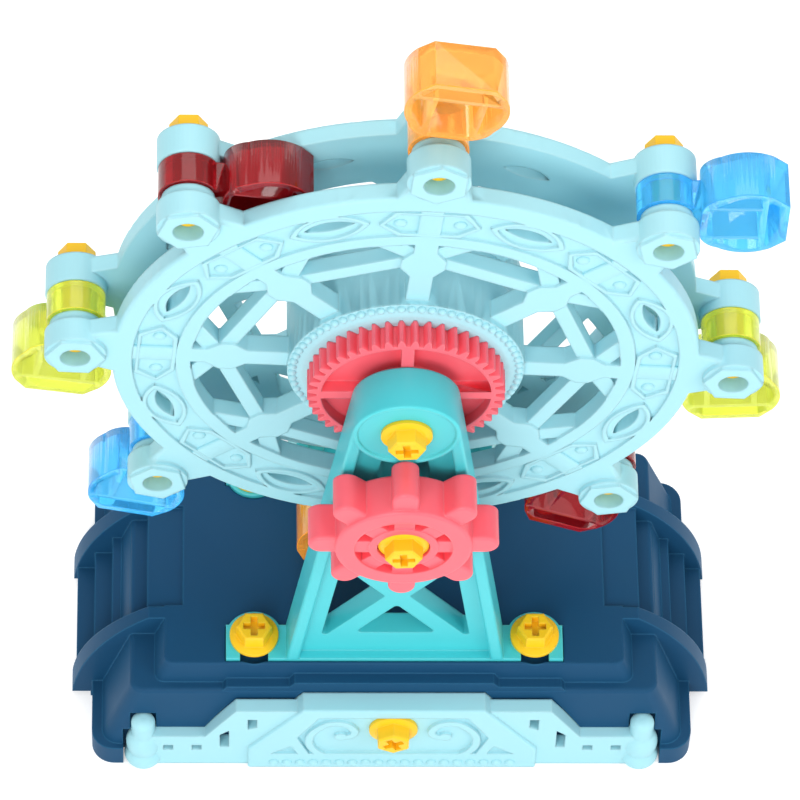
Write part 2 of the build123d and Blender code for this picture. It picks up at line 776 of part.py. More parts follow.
# ---------------------------------------------------------------- wheel
def disc_outline():
    """Openwork disc seen along the axle: rim, spokes, chord bars, braces and pivot arms."""
    chord_outer = chord_apothem + chord_width / 2
    chord_inner = chord_apothem - chord_width / 2
    near = sqrt(rim_radius ** 2 - arm_half ** 2) - 1
    reach = pivot_boss_d / 2
    with BuildSketch(Plane.XY) as outline:
        Circle(rim_radius)
        Circle(ring_inner, mode=Mode.SUBTRACT)
        RegularPolygon(chord_outer, pivot_count, major_radius=False)
        RegularPolygon(chord_inner, pivot_count, major_radius=False, mode=Mode.SUBTRACT)
        with PolarLocations(0, pivot_count):
            with Locations(((hub_radius + ring_inner) / 2, 0)):
                Rectangle(ring_inner - hub_radius + 4, spoke_width)
            with Locations((node_radius, 0)):
                add(polygon((-node_length / 2, -spoke_width / 2), (-node_length / 6, -node_half),
                            (node_length / 6, -node_half), (node_length / 2, -spoke_width / 2),
                            (node_length / 2, spoke_width / 2), (node_length / 6, node_half),
                            (-node_length / 6, node_half), (-node_length / 2, spoke_width / 2)))
            for side in (-1, 1):
                foot = (node_radius + 2.2, 0)
                head = polar(ring_inner + 2, side * brace_angle)
                run = hypot(head[0] - foot[0], head[1] - foot[1])
                with Locations(Location(((foot[0] + head[0]) / 2, (foot[1] + head[1]) / 2, 0),
                                        (0, 0, degrees(atan2(head[1], head[0] - foot[0]))))):
                    Rectangle(run, brace_width)
            add(polygon((near, -arm_half), (pivot_radius - 4, -reach * 0.885),
                        (pivot_radius, -reach * 0.9), (pivot_radius, reach * 0.9),
                        (pivot_radius - 4, reach * 0.885), (near, arm_half)))
            with Locations((pivot_radius, 0)):
                Circle(pivot_boss_d / 2)
    return outline.sketch


def leaf_outline(half_angle, width):
    """Pointed oval lying along the rim, centred midway between two spokes."""
    with BuildSketch(Plane.XY) as outline:
        with BuildLine():
            a = polar(band_middle, pitch / 2 - half_angle)
            b = polar(band_middle, pitch / 2 + half_angle)
            ThreePointArc(a, polar(band_middle + width / 2, pitch / 2), b)
            ThreePointArc(b, polar(band_middle - width / 2, pitch / 2), a)
        make_face()
    return outline.sketch


def panel_outline(inset):
    """Pentagon panel across a spoke in the ornamental band."""
    low = band_inner + 0.6 + inset
    high = band_outer - 0.5 - inset
    half = panel_angle * 0.66
    with BuildSketch(Plane.XY) as outline:
        with BuildLine():
            Polyline(polar(low, half - inset * 0.8), polar(band_middle - 1, panel_angle - inset),
                     polar(high, half - inset * 0.8), polar(high, inset * 0.8 - half),
                     polar(band_middle - 1, inset - panel_angle),
                     polar(low, inset * 0.8 - half), close=True)
        make_face()
    return outline.sketch


def wheel_half(front):
    """One half of the wheel on the viewer's side: disc, half hub drum and pivot bosses."""
    flat = disc_outer - band_recess
    top = boss_front - front_lip if front else boss_rear
    with BuildPart() as half:
        with BuildSketch(wheel_plane(disc_inner)):
            add(disc_outline())
        extrude(amount=disc_thickness)
        fillet(half.faces().sort_by(Axis.Y)[0].outer_wire().edges(), rim_round)
        with BuildSketch(wheel_plane(disc_inner)):
            with PolarLocations(0, pivot_count):
                add(leaf_outline(slot_angle, slot_width))
        extrude(amount=disc_thickness, mode=Mode.SUBTRACT)
        # sunk ornamental band with raised leaf and pentagon borders
        with BuildSketch(wheel_plane(flat)):
            Circle(band_outer)
            Circle(band_inner, mode=Mode.SUBTRACT)
            with PolarLocations(0, pivot_count):
                add(leaf_outline(leaf_angle, leaf_width), mode=Mode.SUBTRACT)
                add(leaf_outline(leaf_angle - 1.6, leaf_width - 2 * lip_width))
                add(panel_outline(0), mode=Mode.SUBTRACT)
                add(panel_outline(lip_width))
        extrude(amount=band_recess + 1, mode=Mode.SUBTRACT)
        # hub drum, open inside, with a sloped bead seat round its face
        with BuildSketch(Plane(origin=(0, 0, axle_height), x_dir=(1, 0, 0), z_dir=(0, 0, 1))):
            with BuildLine():
                Polyline((hub_bore_r, 0), (hub_bore_r, -hub_face), (hub_face_radius, -hub_face),
                         (hub_radius, -hub_edge), (hub_radius, 0), (hub_radius - hub_wall, 0),
                         (hub_radius - hub_wall, hub_wall - hub_edge),
                         (hub_bore_r + hub_bore_wall, hub_wall - hub_edge),
                         (hub_bore_r + hub_bore_wall, 0), close=True)
            make_face()
        revolve(axis=Axis((0, 0, axle_height), (0, 1, 0)))
        # pivot bosses
        with BuildSketch(wheel_plane(disc_inner)):
            with PolarLocations(pivot_radius, pivot_count):
                Circle(pivot_boss_d / 2)
        extrude(amount=top - disc_inner)
        if front:
            chamfer(half.edges().group_by(Axis.Y)[0], front_boss_round)
        with BuildSketch(wheel_plane(boss_inner)):
            with PolarLocations(pivot_radius, pivot_count):
                Circle((front_spacer_d if front else pivot_boss_d) / 2)
        extrude(amount=disc_inner - boss_inner)
        if front:
            with BuildSketch(wheel_plane(top)):
                with PolarLocations(pivot_radius, pivot_count):
                    RegularPolygon(front_lip_flats / 2, 6, major_radius=False, rotation=0)
            extrude(amount=front_lip)
        with BuildSketch(wheel_plane(boss_inner)):
            with PolarLocations(pivot_radius, pivot_count):
                Circle(pin_bore_r)
        extrude(amount=boss_front, mode=Mode.SUBTRACT)
    return half.part


with BuildPart() as wheel_front_disc:
    add(wheel_half(True))
wheel_front_disc.part.label = "wheel_front_disc"
export_step(wheel_front_disc.part, "parts/wheel_front_disc.step")

with BuildPart() as wheel_rear_disc:
    mirror(wheel_half(False), about=Plane.XZ)
    with BuildSketch(face_plane(-gear_front, axle_height)):
        Circle(hub_bore_r + hub_bore_wall)
        Circle(hub_bore_r, mode=Mode.SUBTRACT)
    extrude(amount=gear_front - hub_face)
wheel_rear_disc.part.label = "wheel_rear_disc"
export_step(wheel_rear_disc.part, "parts/wheel_rear_disc.step")

gear_pitch_r = gear_module * gear_teeth / 2
gear_web_r = gear_pitch_r - gear_rim
with BuildPart() as drive_gear:
    with BuildSketch(face_plane(hub_face, axle_height)):
        add(toothed_outline(gear_teeth, wheel_phase))
    extrude(amount=gear_width)
    with BuildSketch(wheel_plane(gear_front)):
        Circle(gear_web_r)
        Circle(hub_bore_r + hub_bore_wall, mode=Mode.SUBTRACT)
        with PolarLocations(0, 4, start_angle=45):
            with Locations((gear_web_r / 2, 0)):
                Rectangle(gear_web_r + 4, gear_rib, mode=Mode.SUBTRACT)
    extrude(amount=-gear_recess, mode=Mode.SUBTRACT)
    with BuildSketch(face_plane(hub_face, axle_height)):
        Circle(hub_bore_r)
    extrude(amount=gear_width, mode=Mode.SUBTRACT)
drive_gear.part.label = "drive_gear"
export_step(drive_gear.part, "parts/drive_gear.step")


def pivot_point(index, distance):
    """Centre of a gondola pivot at Y = -distance."""
    x, z = polar(pivot_radius, wheel_phase + index * pitch)
    return (x, -distance, axle_height + z)


with BuildPart() as gondola_bolts:
    for k in range(pivot_count):
        seat = Plane(origin=pivot_point(k, -boss_rear), x_dir=(1, 0, 0), z_dir=(0, 1, 0))
        add(bolt(seat, disc_thickness))
        with BuildSketch(seat):
            Circle(pin_d / 2)
        extrude(amount=-boss_rear - pin_tip)
    chamfer(gondola_bolts.edges().group_by(Axis.Y)[0], pin_tip_chamfer)
gondola_bolts.part.label = "gondola_bolts"
export_step(gondola_bolts.part, "parts/gondola_bolts.step")

# ---------------------------------------------------------------- crank
with BuildPart() as pinion_gear:
    with BuildSketch(face_plane(hub_face + run_gap, crank_height)):
        add(toothed_outline(pinion_teeth, pinion_first))
    extrude(amount=gear_width - run_gap)
    with BuildSketch(face_plane(gear_front, crank_height)):
        Circle(crank_shaft_d / 2)
    extrude(amount=tower_outer + run_gap - gear_front)
    with BuildSketch(face_plane(tower_outer + run_gap, crank_height)):
        RegularPolygon(crank_hex / 2, 6, major_radius=False)
    extrude(amount=crank_hex_length)
    with BuildSketch(face_plane(tower_outer + run_gap + crank_hex_length, crank_height)):
        Circle(shank_bore_r)
    extrude(amount=-axle_bolt_length, mode=Mode.SUBTRACT)
pinion_gear.part.label = "pinion_gear"
export_step(pinion_gear.part, "parts/pinion_gear.step")

with BuildPart() as crank_knob:
    with BuildSketch(face_plane(knob_rear, crank_height)):
        Circle(knob_ring_r - knob_round)
        with PolarLocations(0, knob_lobes):
            with Locations(((knob_lobe_reach - knob_lobe_width / 2 + knob_hub_r) / 2, 0)):
                Rectangle(knob_lobe_reach - knob_lobe_width / 2 - knob_hub_r, knob_lobe_width)
            with Locations((knob_lobe_reach - knob_lobe_width / 2, 0)):
                Circle(knob_lobe_width / 2)
    extrude(amount=knob_depth - knob_lobe_step)
    fillet(crank_knob.faces().sort_by(Axis.Y)[0].edges(), knob_round)
    with BuildSketch(face_plane(knob_rear, crank_height)):
        Circle(knob_ring_r)
    extrude(amount=knob_depth)
    fillet(crank_knob.edges().group_by(Axis.Y)[0], knob_round)
    with BuildSketch(face_plane(tower_outer + run_gap, crank_height)):
        Circle(knob_hub_r - 1.5)
    extrude(amount=knob_rear - tower_outer - run_gap)
    # ring of pockets round the hub, between the knob's spokes
    with BuildSketch(face_plane(knob_front, crank_height)):
        Circle(knob_ring_inner)
        Circle(knob_hub_r, mode=Mode.SUBTRACT)
        with PolarLocations(0, knob_lobes):
            with Locations((knob_ring_inner / 2, 0)):
                Rectangle(knob_ring_inner + 4, knob_spoke, mode=Mode.SUBTRACT)
    extrude(amount=-knob_recess, mode=Mode.SUBTRACT)
    with BuildSketch(face_plane(knob_front, crank_height)):
        Circle(knob_ring_inner)
        Circle(knob_hub_r, mode=Mode.SUBTRACT)
    extrude(amount=-knob_web_step, mode=Mode.SUBTRACT)
    with BuildSketch(face_plane(knob_front, crank_height)):
        Circle(knob_hub_r)
    extrude(amount=-knob_hub_step, mode=Mode.SUBTRACT)
    # sunk seat for the bolt's flange
    with BuildSketch(face_plane(knob_front, crank_height)):
        Circle(bolt_flange_d / 2 + pocket_gap)
    extrude(amount=-knob_bolt_sink, mode=Mode.SUBTRACT)
    # hexagon socket for the shaft and bore for the knob bolt
    with BuildSketch(face_plane(tower_outer + run_gap, crank_height)):
        RegularPolygon(crank_hex / 2 + seat_gap, 6, major_radius=False)
    extrude(amount=crank_hex_length + seat_gap, mode=Mode.SUBTRACT)
    with BuildSketch(face_plane(tower_outer, crank_height)):
        Circle(shank_bore_r)
    extrude(amount=knob_front - tower_outer, mode=Mode.SUBTRACT)
crank_knob.part.label = "crank_knob"
export_step(crank_knob.part, "parts/crank_knob.step")

with BuildPart() as knob_bolt:
    add(bolt(face_plane(knob_front - knob_bolt_sink, crank_height), knob_bolt_length, 4.0))
knob_bolt.part.label = "knob_bolt"
export_step(knob_bolt.part, "parts/knob_bolt.step")

# ---------------------------------------------------------------- fixed bolts
with BuildPart() as front_axle_bolt:
    add(bolt(face_plane(tower_outer - boss_dish, axle_height), axle_bolt_length, 5.0))
front_axle_bolt.part.label = "front_axle_bolt"
export_step(front_axle_bolt.part, "parts/front_axle_bolt.step")

with BuildPart() as rear_axle_bolt:
    mirror(front_axle_bolt.part, about=Plane.XZ)
rear_axle_bolt.part.label = "rear_axle_bolt"
export_step(rear_axle_bolt.part, "parts/rear_axle_bolt.step")

with BuildPart() as fence_bolt:
    add(bolt(face_plane(plaque_front - field_depth, fence_bolt_height), fence_bolt_length, 30.0))
fence_bolt.part.label = "fence_bolt"
export_step(fence_bolt.part, "parts/fence_bolt.step")

with BuildPart() as foot_bolts:
    for sx in (-1, 1):
        for sy in (-1, 1):
            add(bolt(Plane(origin=(sx * tab_x, sy * tab_y, foot_top)), foot_bolt_length))
foot_bolts.part.label = "foot_bolts"
export_step(foot_bolts.part, "parts/foot_bolts.step")


# ---------------------------------------------------------------- gondolas
def gondola_outline(shrink):
    """Barrel-sided gondola with a flat far end, seen along its pivot, smaller by a wall."""
    far = gondola_reach - shrink
    near = gondola_near + shrink
    half = gondola_half_width - shrink
    corner = (far - gondola_corner_run + shrink * 0.3, half - gondola_corner_drop)
    shoulder = (near + gondola_near_run, half - gondola_near_drop)
    with BuildSketch(Plane.XY) as outline:
        with BuildLine():
            Line((far, 0), (far, gondola_end_half - shrink * 0.4))
            Line((far, gondola_end_half - shrink * 0.4), corner)
            ThreePointArc(corner, ((far + near) / 2, half), shoulder)
            ThreePointArc(shoulder, (near + gondola_near_run / 3, half - 2 * gondola_near_drop),
                          (near, gondola_neck_width / 2))
            Line((near, gondola_neck_width / 2), (near, 0))
            Line((near, 0), (far, 0))
        make_face()
        mirror(about=Plane.XZ)
    return outline.sketch


def gondola(index, hang):
    """Gondola on a pivot; hang is the direction from the pivot to the box, in degrees."""
    a = radians(hang)
    face = gondola_depth / 2 - gondola_set_back
    mid = Plane(origin=pivot_point(index, 0), x_dir=(cos(a), 0, sin(a)), z_dir=(0, -1, 0))
    bar_place = gondola_reach - gondola_bar_back
    with BuildPart() as piece:
        with BuildSketch(mid.offset(face)):
            add(gondola_outline(0))
        extrude(amount=-gondola_depth)
        with BuildSketch(mid.offset(face)):
            add(gondola_outline(gondola_wall))
            with Locations((bar_place, 0)):
                Rectangle(gondola_rib, 2 * gondola_half_width, mode=Mode.SUBTRACT)
            for v in (-gondola_rib_side, gondola_rib_side):
                with Locations(((bar_place + gondola_near) / 2, v)):
                    Rectangle(bar_place - gondola_near, gondola_rib, mode=Mode.SUBTRACT)
        extrude(amount=-(gondola_depth - gondola_wall), mode=Mode.SUBTRACT)
        with BuildSketch(mid.offset(-collar_length / 2)):
            with Locations(((gondola_near + 1) / 2, 0)):
                Rectangle(gondola_near + 1, gondola_neck_width)
            Circle(collar_d / 2)
        extrude(amount=collar_length)
        with BuildSketch(mid.offset(-collar_length / 2)):
            Circle(pin_bore_r)
        extrude(amount=collar_length, mode=Mode.SUBTRACT)
    return piece.part


# Directions in which the gondolas hang in the photograph, from the right-hand pivot round.
hang_angles = [-86.7, 0.0, 79.0, -10.0, -101.6, -107.0, -113.0, -115.0]
for k in range(pivot_count):
    with BuildPart() as car:
        add(gondola(k, hang_angles[k % len(hang_angles)]))
    car.part.label = f"gondola_{k + 1}"
    export_step(car.part, f"parts/gondola_{k + 1}.step")
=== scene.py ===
import json
import math

import bmesh
import bpy
from mathutils import Matrix, Vector


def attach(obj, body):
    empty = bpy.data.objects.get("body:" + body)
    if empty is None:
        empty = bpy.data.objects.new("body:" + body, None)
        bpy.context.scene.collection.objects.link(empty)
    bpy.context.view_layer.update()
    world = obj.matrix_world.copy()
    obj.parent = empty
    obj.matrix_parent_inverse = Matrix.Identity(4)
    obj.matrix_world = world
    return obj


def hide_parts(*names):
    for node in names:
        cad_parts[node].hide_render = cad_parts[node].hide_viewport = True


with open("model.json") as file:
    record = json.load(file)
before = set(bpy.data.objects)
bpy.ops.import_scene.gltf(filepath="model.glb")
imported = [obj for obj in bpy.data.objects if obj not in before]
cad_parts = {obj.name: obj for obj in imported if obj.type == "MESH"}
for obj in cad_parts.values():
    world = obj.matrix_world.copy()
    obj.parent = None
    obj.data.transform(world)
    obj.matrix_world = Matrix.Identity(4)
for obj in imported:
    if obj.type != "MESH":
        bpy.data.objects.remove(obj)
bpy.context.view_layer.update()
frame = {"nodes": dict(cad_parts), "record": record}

MM = 0.001
PHOTO_SIDE = 800

# Lumps per metre of the noises in the finishes.
DRIFT_LUMPS = 26.0
FLOW_LUMPS = 90.0
GRAIN_LUMPS = 1900.0
POLISH_LUMPS = 60.0
TINT_DRIFT_LUMPS = 60.0
TINT_RIPPLE_LUMPS = 240.0
TINT_POLISH_LUMPS = 120.0
EDGE_CONTRAST = 6.0


# ---------------------------------------------------------------- shader language
class Value:
    """One output of a shader tree. Arithmetic on it adds Math nodes."""

    def __init__(self, finish, socket):
        self.finish = finish
        self.socket = socket

    def math(self, operation, *others):
        values = {0: self}
        for place, other in enumerate(others, start=1):
            values[place] = other
        return self.finish.node("ShaderNodeMath", {"operation": operation}, values)

    def __add__(self, other):
        return self.math("ADD", other)

    __radd__ = __add__

    def __sub__(self, other):
        return self.math("SUBTRACT", other)

    def __rsub__(self, other):
        return self.finish.node("ShaderNodeMath", {"operation": "SUBTRACT"}, {0: other, 1: self})

    def __mul__(self, other):
        return self.math("MULTIPLY", other)

    __rmul__ = __mul__

    def clamped(self):
        return self.finish.node("ShaderNodeClamp", {}, {"Value": self})


class Finish:
    """A material whose tree is written as nodes with settings and values."""

    def __init__(self, name):
        self.material = bpy.data.materials.new(name)
        self.material.use_nodes = True
        self.tree = self.material.node_tree
        self.tree.nodes.clear()
        self.output = self.tree.nodes.new("ShaderNodeOutputMaterial")

    def node(self, kind, settings=None, values=None, out=0):
        made = self.tree.nodes.new(kind)
        for key, setting in (settings or {}).items():
            setattr(made, key, setting)
        for key, value in (values or {}).items():
            if isinstance(value, Value):
                self.tree.links.new(value.socket, made.inputs[key])
            else:
                made.inputs[key].default_value = value
        return Value(self, made.outputs[out])

    def place(self):
        """The point on the object, in metres."""
        return self.node("ShaderNodeTexCoord", out="Object")

    def noise(self, scale, detail=2.0, roughness=0.5, distortion=0.0):
        """Noise with a number of lumps per metre."""
        return self.node("ShaderNodeTexNoise", {"noise_dimensions": "3D"},
                         {"Vector": self.place(), "Scale": scale, "Detail": detail,
                          "Roughness": roughness, "Distortion": distortion})

    def mixed(self, factor, first, second):
        return self.node("ShaderNodeMix", {"data_type": "RGBA"},
                         {0: factor, 6: first, 7: second}, out=2)

    def show(self, shader):
        self.tree.links.new(shader.socket, self.output.inputs["Surface"])
        return self.material


def shade(hex_code):
    """Linear colour of a six-digit screen colour."""
    parts = []
    for start in (0, 2, 4):
        c = int(hex_code[start:start + 2], 16) / 255
        parts.append(c / 12.92 if c <= 0.04045 else ((c + 0.055) / 1.055) ** 2.4)
    return (*parts, 1.0)


# ---------------------------------------------------------------- finishes
def edge_mask(finish, radius):
    """1 on convex and concave edges, 0 on open faces."""
    edge = finish.node("ShaderNodeBevel", {"samples": 6}, {"Radius": radius})
    true = finish.node("ShaderNodeNewGeometry", out="Normal")
    along = finish.node("ShaderNodeVectorMath", {"operation": "DOT_PRODUCT"},
                        {0: edge, 1: true}, out="Value")
    return ((1.0 - along) * EDGE_CONTRAST).clamped()


def rounded_normal(finish, radius, height, strength, distance):
    """Surface direction with softened edges and a fine moulded grain."""
    edge = finish.node("ShaderNodeBevel", {"samples": 6}, {"Radius": radius})
    return finish.node("ShaderNodeBump", {}, {"Height": height, "Strength": strength,
                                             "Distance": distance, "Normal": edge})


def moulded_plastic(name, body, edge, roughness=0.36, edge_radius=0.8 * MM, highlight_share=0.45,
                    gloss=0.5, coat=0.1, sheen=0.0):
    """Opaque injection-moulded plastic: slight tone drift, a painted highlight on the edges, fine
    grain.
    """
    f = Finish(name)
    drift = f.noise(DRIFT_LUMPS, 3.0)
    flow = f.noise(FLOW_LUMPS, 2.0, 0.6, 1.5)
    grain = f.noise(GRAIN_LUMPS, 2.0)
    darker = tuple(c * 0.94 for c in shade(body)[:3]) + (1.0,)
    tone = f.mixed(((drift * 0.7 + flow * 0.3 - 0.5) * 1.1 + 0.5).clamped(), darker, shade(body))
    # Painted highlight: edges and creases are mixed toward the lighter edge colour.
    colour = f.mixed(edge_mask(f, edge_radius) * highlight_share, tone, shade(edge))
    rough = (f.noise(POLISH_LUMPS, 2.0) - 0.5) * 0.12 + roughness
    skin = f.node("ShaderNodeBsdfPrincipled", {},
                  {"Base Color": colour, "Roughness": rough, "IOR": 1.5,
                   "Specular IOR Level": gloss, "Coat Weight": coat, "Coat Roughness": 0.3,
                   "Sheen Weight": sheen, "Sheen Roughness": 0.4, "Sheen Tint": shade(edge),
                   "Normal": rounded_normal(f, edge_radius, grain, 0.06, 0.05 * MM)})
    return f.show(skin)


def tinted_plastic(name, body, edge, milk=0.12, glow=0.1):
    """Clear tinted plastic: light bends through the walls, edges hold a deeper colour, and the
    opaque share carries a painted glow.
    """
    f = Finish(name)
    drift = f.noise(TINT_DRIFT_LUMPS, 3.0)
    ripple = f.noise(TINT_RIPPLE_LUMPS, 2.0, 0.5, 0.6)
    rim = edge_mask(f, 0.7 * MM)
    colour = f.mixed((rim * 0.9 + (drift - 0.5) * 0.3).clamped(), shade(body), shade(edge))
    rough = (f.noise(TINT_POLISH_LUMPS, 2.0) - 0.5) * 0.06 + 0.07
    soft = rounded_normal(f, 0.6 * MM, ripple, 0.2, 0.3 * MM)
    clear = f.node("ShaderNodeBsdfPrincipled", {},
                   {"Base Color": colour, "Roughness": rough, "IOR": 1.45,
                    "Transmission Weight": 1.0, "Normal": soft})
    # Painted glow: the opaque share emits its own colour at the strength glow.
    skin = f.node("ShaderNodeBsdfPrincipled", {},
                  {"Base Color": colour, "Roughness": rough, "IOR": 1.5, "Coat Weight": 0.3,
                   "Coat Roughness": 0.06, "Emission Color": colour, "Emission Strength": glow,
                   "Normal": soft})
    factor = (rim * 0.4 + (drift - 0.5) * 0.1 + milk).clamped()
    return f.show(f.node("ShaderNodeMixShader", {}, {0: factor, 1: clear, 2: skin}))


# The second colour of each moulded finish is its painted edge highlight.
FINISHES = {
    "base_navy": moulded_plastic("base_navy_plastic", "194A6E", "3B86B0", 0.5,
                                 gloss=0.12, coat=0.0, sheen=0.25, highlight_share=0.35),
    "tower_turquoise": moulded_plastic("tower_turquoise_plastic", "46CCD4", "6FE0E6", 0.4),
    "wheel_aqua": moulded_plastic("wheel_aqua_plastic", "A8DFE9", "C4EEF6", 0.42,
                                  edge_radius=1.0 * MM, gloss=0.3, coat=0.0),
    "gear_coral": moulded_plastic("gear_coral_plastic", "FF6472", "FF8A96", 0.42),
    "bolt_yellow": moulded_plastic("bolt_yellow_plastic", "FFCB1C", "FFDC58", 0.4, gloss=0.3,
                                   coat=0.0, edge_radius=0.5 * MM),
    "axle_grey": moulded_plastic("axle_grey_plastic", "D8DCDC", "E8ECEC", 0.4),
    # The last number of each gondola finish is the strength of its painted glow.
    "gondola_orange": tinted_plastic("gondola_orange_tint", "FFBC58", "FF9E0C", 0.3, 0.4),
    "gondola_red": tinted_plastic("gondola_red_tint", "B21822", "CC0814", 0.3, 0.1),
    "gondola_blue": tinted_plastic("gondola_blue_tint", "5ACEFE", "2494EE", 0.26, 0.35),
    "gondola_lime": tinted_plastic("gondola_lime_tint", "E6F05A", "F4DC20", 0.26, 0.3),
}

# ---------------------------------------------------------------- what the frame says
RECORD = frame["record"]
SLOT_OF = {part["node"]: part["material_slot"] for part in RECORD["subparts"]}
JOINTS = {joint["name"]: joint for joint in RECORD["behaviour"]["joints"]}
BODY_OF = {}
for body, nodes in RECORD["behaviour"]["bodies"].items():
    for node in nodes:
        BODY_OF[node] = body
AXLE = Vector(JOINTS["wheel_spin"]["pos_m"])
FIRST_PIVOT = Vector(JOINTS["gondola_swing_1"]["pos_m"]) - AXLE
WHEEL_PHASE = math.atan2(FIRST_PIVOT.z, FIRST_PIVOT.x)
PITCH = math.radians(45)

for node, piece in frame["nodes"].items():
    piece.data.materials.clear()
    piece.data.materials.append(FINISHES[SLOT_OF[node]])


# ---------------------------------------------------------------- workbench
MERGE_DISTANCE = 0.002 * MM
BEAD_SINK = 0.3
BEAD_CROWN = math.radians(72)
BAR_SINK = 0.3 * MM
BAR_ROUND = 0.4 * MM
PICK_MARGIN = 0.01 * MM


def only(piece):
    """Selects one piece alone and makes it the active one."""
    bpy.ops.object.select_all(action="DESELECT")
    piece.select_set(True)
    bpy.context.view_layer.objects.active = piece


def complete(piece, name, body, slot_name, smooth):
    """Gives a shaped piece its name, finish, shading and body; smooth is an angle, 0 for flat."""
    piece.name = name
    piece.data.name = name
    piece.data.materials.clear()
    piece.data.materials.append(FINISHES[slot_name])
    only(piece)
    bpy.ops.object.transform_apply(location=True, rotation=True, scale=True)
    if smooth:
        bpy.ops.object.shade_smooth_by_angle(angle=math.radians(smooth))
    else:
        bpy.ops.object.shade_flat()
    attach(piece, body)


def joined_copy(node):
    """Copy of a CAD node with its loose triangles merged."""
    piece = bpy.data.objects.new(node + "_copy", frame["nodes"][node].data.copy())
    bpy.context.scene.collection.objects.link(piece)
    only(piece)
    bpy.ops.object.mode_set(mode="EDIT")
    bpy.ops.mesh.select_all(action="SELECT")
    bpy.ops.mesh.remove_doubles(threshold=MERGE_DISTANCE)
    bpy.ops.object.mode_set(mode="OBJECT")
    return piece


def cap_bead(radius, height, sides=8, steps=3):
    """Low round bead standing on the origin, extruded ring by ring from a disc."""
    bpy.ops.object.select_all(action="DESELECT")
    bpy.ops.mesh.primitive_circle_add(vertices=sides, radius=radius, fill_type="NGON",
                                      location=(0, 0, -BEAD_SINK * height))
    bead = bpy.context.object
    bpy.ops.object.transform_apply(location=True)
    bpy.ops.object.mode_set(mode="EDIT")
    bpy.ops.mesh.select_all(action="SELECT")
    at_height, at_radius = -BEAD_SINK * height, radius
    for step in range(steps + 1):
        angle = BEAD_CROWN * step / steps
        to_height, to_radius = height * math.sin(angle), radius * math.cos(angle)
        bpy.ops.mesh.extrude_region_move(
            TRANSFORM_OT_translate={"value": (0, 0, to_height - at_height)})
        shrink = to_radius / at_radius
        bpy.ops.transform.resize(value=(shrink, shrink, 1), center_override=(0, 0, 0))
        at_height, at_radius = to_height, to_radius
    bpy.ops.mesh.select_all(action="SELECT")
    bpy.ops.mesh.normals_make_consistent(inside=False)
    bpy.ops.object.mode_set(mode="OBJECT")
    return bead


def band_bar(length, width, height):
    """Flat bar along X on the origin, its long upper edges bevelled round."""
    bpy.ops.object.select_all(action="DESELECT")
    bpy.ops.mesh.primitive_cube_add(size=1, location=(0, 0, height / 2 - BAR_SINK))
    bar = bpy.context.object
    bar.scale = (length, width, height)
    bpy.ops.object.transform_apply(location=True, rotation=False, scale=True)
    bpy.ops.object.mode_set(mode="EDIT")
    bpy.ops.mesh.select_all(action="DESELECT")
    shape = bmesh.from_edit_mesh(bar.data)
    top = max(vert.co.z for vert in shape.verts)
    for edge in shape.edges:
        low, high = edge.verts
        at_top = min(low.co.z, high.co.z) > top - PICK_MARGIN
        if at_top and abs(low.co.x - high.co.x) > length / 2:
            edge.select = True
    bmesh.update_edit_mesh(bar.data)
    bpy.ops.mesh.bevel(offset=BAR_ROUND, segments=2, affect="EDGES")
    bpy.ops.object.mode_set(mode="OBJECT")
    return bar


def set_out(models):
    """One piece from models and the places where each is copied; the models go."""
    copies = []
    for model, places in models:
        for place in places:
            twin = bpy.data.objects.new("twin", model.data.copy())
            twin.data.transform(place)
            bpy.context.scene.collection.objects.link(twin)
            copies.append(twin)
        bpy.data.objects.remove(model)
    bpy.ops.object.select_all(action="DESELECT")
    for twin in copies:
        twin.select_set(True)
    bpy.context.view_layer.objects.active = copies[0]
    bpy.ops.object.join()
    return bpy.context.object


def on_wheel(radius, angle, y, tilt=0.0):
    """Place on a disc's face: Z outwards along the axle, X away from the axle."""
    toward = math.copysign(1.0, y)
    turn = WHEEL_PHASE + angle
    out = Vector((math.cos(turn), 0, math.sin(turn)))
    up = Vector((0, toward, 0)) * math.cos(tilt) + out * math.sin(tilt)
    along = out * math.cos(tilt) - Vector((0, toward, 0)) * math.sin(tilt)
    axes = Matrix((along, up.cross(along), up)).transposed().to_4x4()
    return Matrix.Translation(AXLE + out * radius + Vector((0, y, 0))) @ axes


# ---------------------------------------------------------------- wheel discs
DISC_FACE = 14.05 * MM
BAND_FLOOR = 13.15 * MM
BAND_LOW, BAND_HIGH = 66.9 * MM, 79.4 * MM
HUB_EDGE, RING_INSIDE = 35.2 * MM, 62.3 * MM
SPOKE_HALF = 3.35 * MM
NODE_RADIUS, NODE_LONG, NODE_SHORT, NODE_WIDE = 52.2 * MM, 6.0 * MM, 2.0 * MM, 6.4 * MM
BAR_DROP = 0.9 * MM
BEAD_RING, BEAD_SEAT, BEAD_TILT = 32.9 * MM, 16.37 * MM, math.radians(16)
BEAD_COUNT = 70
BEAD_RADIUS, BEAD_HEIGHT = 1.3 * MM, 1.1 * MM
PANEL_DOME, PANEL_TURN = 72.6 * MM, math.radians(6.7)
DOME_RADIUS, DOME_HEIGHT, DOME_SIDES = 2.0 * MM, 0.8 * MM, 12
FACE_MARGIN = 0.01 * MM
CUT_ABOVE = 3 * MM
ARC_STEPS = 8


